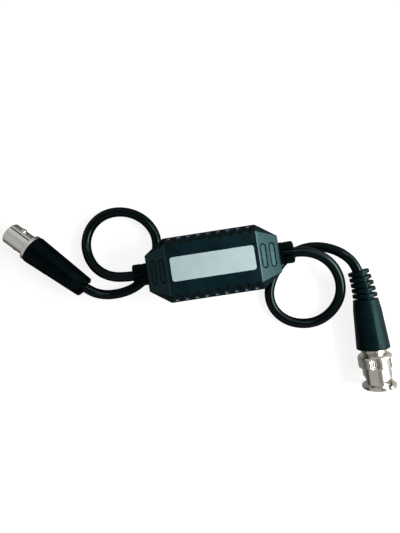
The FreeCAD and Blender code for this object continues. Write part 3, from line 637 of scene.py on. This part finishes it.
# the jack's seam and the nut's knurl get painted shade
finishes["jack_nickel"] = nickel("jack_nickel", [0.96, 0.95, 0.89], [0.88, 0.86, 0.79], 0.38,
                                 jack_heading, painted_groove_shade=jack_seam_shade)
finishes["nut_nickel"] = nickel("nut_nickel", [0.82, 0.79, 0.72], [0.60, 0.57, 0.49], 0.20,
                                plug_heading, ring=0.05, painted_groove_shade=knurl_groove_shade)
for slot, name, colour, warm, shine in [
    ("plug_nickel", "plug_nickel", [0.60, 0.58, 0.52], [0.45, 0.42, 0.36], 0.28),
    ("ferrule", "ferrule_nickel", [0.58, 0.56, 0.50], [0.45, 0.42, 0.36], 0.40),
    ("contact_gold", "contact_gold", [0.83, 0.60, 0.25], [0.66, 0.44, 0.16], 0.22),
    ("spring_steel", "spring_steel", [0.52, 0.52, 0.53], [0.36, 0.36, 0.38], 0.30),
]:
    finishes[slot] = nickel(name, colour, warm, shine, plug_heading)
print("plated finishes ready")

# %% [markdown]
# ## What is inside
#
# The board, the toroid and the wires only show when the part is opened. Each still has its own finish,
# because the pieces are kept for scenes that take the part to pieces. One noise serves each of them: it
# mixes two near colours, varies the shine and gives a shallow relief.

# %% Inner finishes
def inner(name, colour, other, shine, scale, depth, metallic=0.0):
    finish = Finish(name, metallic=metallic)
    grain = finish.noise(scale, 3.0, 0.55)
    finish.set("Base Color", finish.blend(finish.ramp(grain, 0.4, 0.65), colour, other))
    finish.set("Roughness", shine + (grain - 0.5) * 0.15)
    finish.bump(grain, depth, 0.4)
    return finish.material


for slot, *look in [
    ("wire_insulation", "wire_white", [0.72, 0.71, 0.67], [0.78, 0.77, 0.73], 0.40, 900.0, 0.01),
    ("braid", "braid_copper", [0.62, 0.34, 0.20], [0.42, 0.20, 0.11], 0.36, 4200.0, 0.08, 1.0),
    ("board", "board_green", [0.02, 0.13, 0.06], [0.03, 0.17, 0.08], 0.35, 700.0, 0.02),
    ("ferrite", "ferrite_grey", [0.05, 0.05, 0.055], [0.075, 0.075, 0.08], 0.62, 2600.0, 0.04),
    ("winding_wire", "winding_copper", [0.56, 0.22, 0.08], [0.66, 0.30, 0.12], 0.25, 800.0, 0.01, 1.0),
    ("capacitor", "capacitor_red", [0.36, 0.05, 0.03], [0.42, 0.07, 0.04], 0.30, 500.0, 0.03),
    ("insulator", "insulator_white", [0.80, 0.80, 0.76], [0.86, 0.86, 0.83], 0.36, 800.0, 0.01),
    ("gasket", "gasket_red", [0.30, 0.05, 0.03], [0.36, 0.08, 0.05], 0.60, 1500.0, 0.03),
]:
    finishes[slot] = inner(*look)
print("finishes:", len(finishes))

# %% [markdown]
# ## Dressing the pieces
#
# The record names a material slot for each node, and the finishes go by the same names, so one loop dresses
# them all. The cables and the washer are new pieces and get theirs by hand. The nodes arrive as flat
# triangles: shading by angle keeps the real edges crisp and lets the turned and rounded faces read as
# curves.

# %% Give each piece its finish
slot_of = {row["node"]: row["material_slot"] for row in frame["record"]["subparts"]}
for node, piece in frame["nodes"].items():
    piece.data.materials.clear()
    piece.data.materials.append(finishes[slot_of[node]])
for cable in (left_cable, right_cable):
    cable.data.materials.append(finishes["cable"])
washer.data.materials.append(finishes["spring_steel"])
print("nodes dressed:", len(slot_of))

# %% Shade by angle
bpy.ops.object.select_all(action="DESELECT")
for piece in frame["nodes"].values():
    piece.select_set(True)
bpy.context.view_layer.objects.active = next(iter(frame["nodes"].values()))
bpy.ops.object.shade_smooth_by_angle(angle=radians(28))
print("pieces shaded:", len(bpy.context.selected_objects))
bpy.ops.object.select_all(action="DESELECT")

# %% [markdown]
# ## The floor
#
# The floor must look white and still carry a soft shadow. It is grey paint, which a glow that only the
# camera sees lifts to white. The glow grows with the distance, where the lamps no longer reach, so the floor
# ends in the white room without a horizon. Gloss sees the floor as dim on the left and brighter towards the
# window, as a floor is in the shadow of a dark object and beyond it.

# %% Floor
floor_paint = 0.28
glow_near, glow_far = 0.87, 1.0
glow_fades = (150.0, 350.0)                         # from the middle of the part
mirrored_left, mirrored_right = 0.05, 0.60
mirrored_fades = (30.0, 90.0)                       # along X
mirrored_tint = (1.0, 0.98, 0.94)

bpy.ops.mesh.primitive_grid_add(x_subdivisions=2, y_subdivisions=2, size=6.0, location=(0, 0, 0))
floor = bpy.context.active_object
floor.name = "floor"
paper = Finish("floor_paper", base_color=[floor_paint] * 3, roughness=0.9, specular_ior_level=0.0)
paint = Signal(paper, paper.shader.outputs[0])
far_away = paper.ramp(paper.size_of(paper.along(0), paper.along(1), 0.0), *glow_fades)
glow = paper.blend(far_away, [glow_near] * 3, [glow_far] * 3)
lit = paper.node("ShaderNodeAddShader", None, {
    0: paint, 1: paper.node("ShaderNodeEmission", None, {"Color": glow})})
greys = [[level * tint for tint in mirrored_tint] for level in (mirrored_left, mirrored_right)]
mirrored = paper.blend(paper.ramp(paper.along(0), *mirrored_fades), *greys)
dim = paper.node("ShaderNodeEmission", None, {"Color": mirrored})
seen = paper.either(paper.ray_is("Camera"), paper.either(paper.ray_is("Glossy"), paint, dim), lit)
paper.feed(paper.tree.nodes["Material Output"].inputs["Surface"], seen)
floor.data.materials.append(paper.material)
print("floor is", round(floor.dimensions.x, 1), "m wide")

# %% [markdown]
# ## The room
#
# The camera sees a white room. The pieces get only a soft dimness from it, which keeps the black black.
# Gloss sees a pale room round a dark zenith, because whoever takes the picture leans over the part, and that
# is what the flat roof mirrors. A world has no Principled shader, but the same net of nodes serves it.

# %% World
room_light = 0.08
zenith_fades = (0.91, 0.985)                        # how steeply the gaze rises, where 1 is straight up
walls_in_gloss, zenith_in_gloss = 0.37, 0.0

world = bpy.data.worlds.new("room")
bpy.context.scene.world = world
world.use_nodes = True
room = Net(world.node_tree)
gaze = room.node("ShaderNodeTexCoord", output="Generated")
rise = room.node("ShaderNodeSeparateXYZ", None, {"Vector": gaze}, "Z")
pale = room.node("ShaderNodeMapRange", None, {
    "Value": rise, "From Min": zenith_fades[0], "From Max": zenith_fades[1],
    "To Min": walls_in_gloss, "To Max": zenith_in_gloss}, "Result")
dimness = room.node("ShaderNodeBackground", None, {"Color": [0.95, 0.98, 1.0], "Strength": room_light})
white = room.node("ShaderNodeBackground", None, {"Color": [1.0, 1.0, 1.0], "Strength": 1.0})
seen = room.either(room.ray_is("Glossy") * pale + room.ray_is("Camera"), dimness, white)
room.feed(room.tree.nodes["World Output"].inputs["Surface"], seen)
print("room light:", room_light)

# %% [markdown]
# ## The lamps
#
# The light comes from the right. A long low window gives the sharp highlights and lights the right end
# slope, and the bright wall round it reaches from the floor to nearly overhead, so metal turns pale on that
# side. A small skylight draws the thin lines on the far edges. All three are rectangles that face the middle
# of the part.

# %% Lamps
def lamp(name, place, size, brightness, colour):
    """A rectangular lamp by its brightness, the radiance that its face shows, where 1 is white paper."""
    light = bpy.data.lights.new(name, "AREA")
    light.shape = "RECTANGLE"
    light.size, light.size_y = size
    light.energy = brightness * pi * size[0] * size[1]
    light.color = colour
    holder = bpy.data.objects.new(name, light)
    bpy.context.scene.collection.objects.link(holder)
    holder.location = place
    holder.rotation_euler = (-Vector(place)).to_track_quat("-Z", "Y").to_euler()
    print(name, "is", round(Vector(place).length, 2), "m away")


lamp("window", (0.218, -0.05, 0.169), (0.20, 0.07), 17.0, (1.0, 0.99, 0.96))
lamp("bright wall", (0.35, 0.03, 0.235), (0.62, 0.46), 1.5, (1.0, 0.99, 0.97))
lamp("skylight", (0.16, 0.22, 0.50), (0.09, 0.09), 8.0, (0.97, 0.99, 1.0))

# %% [markdown]
# ## The last update
#
# The scene is brought up to date. The dressed part should fill the same box as the solids, because the
# cables and the washer only stand in for solids of the same size.

# %% Bring the scene up to date
bpy.context.view_layer.update()
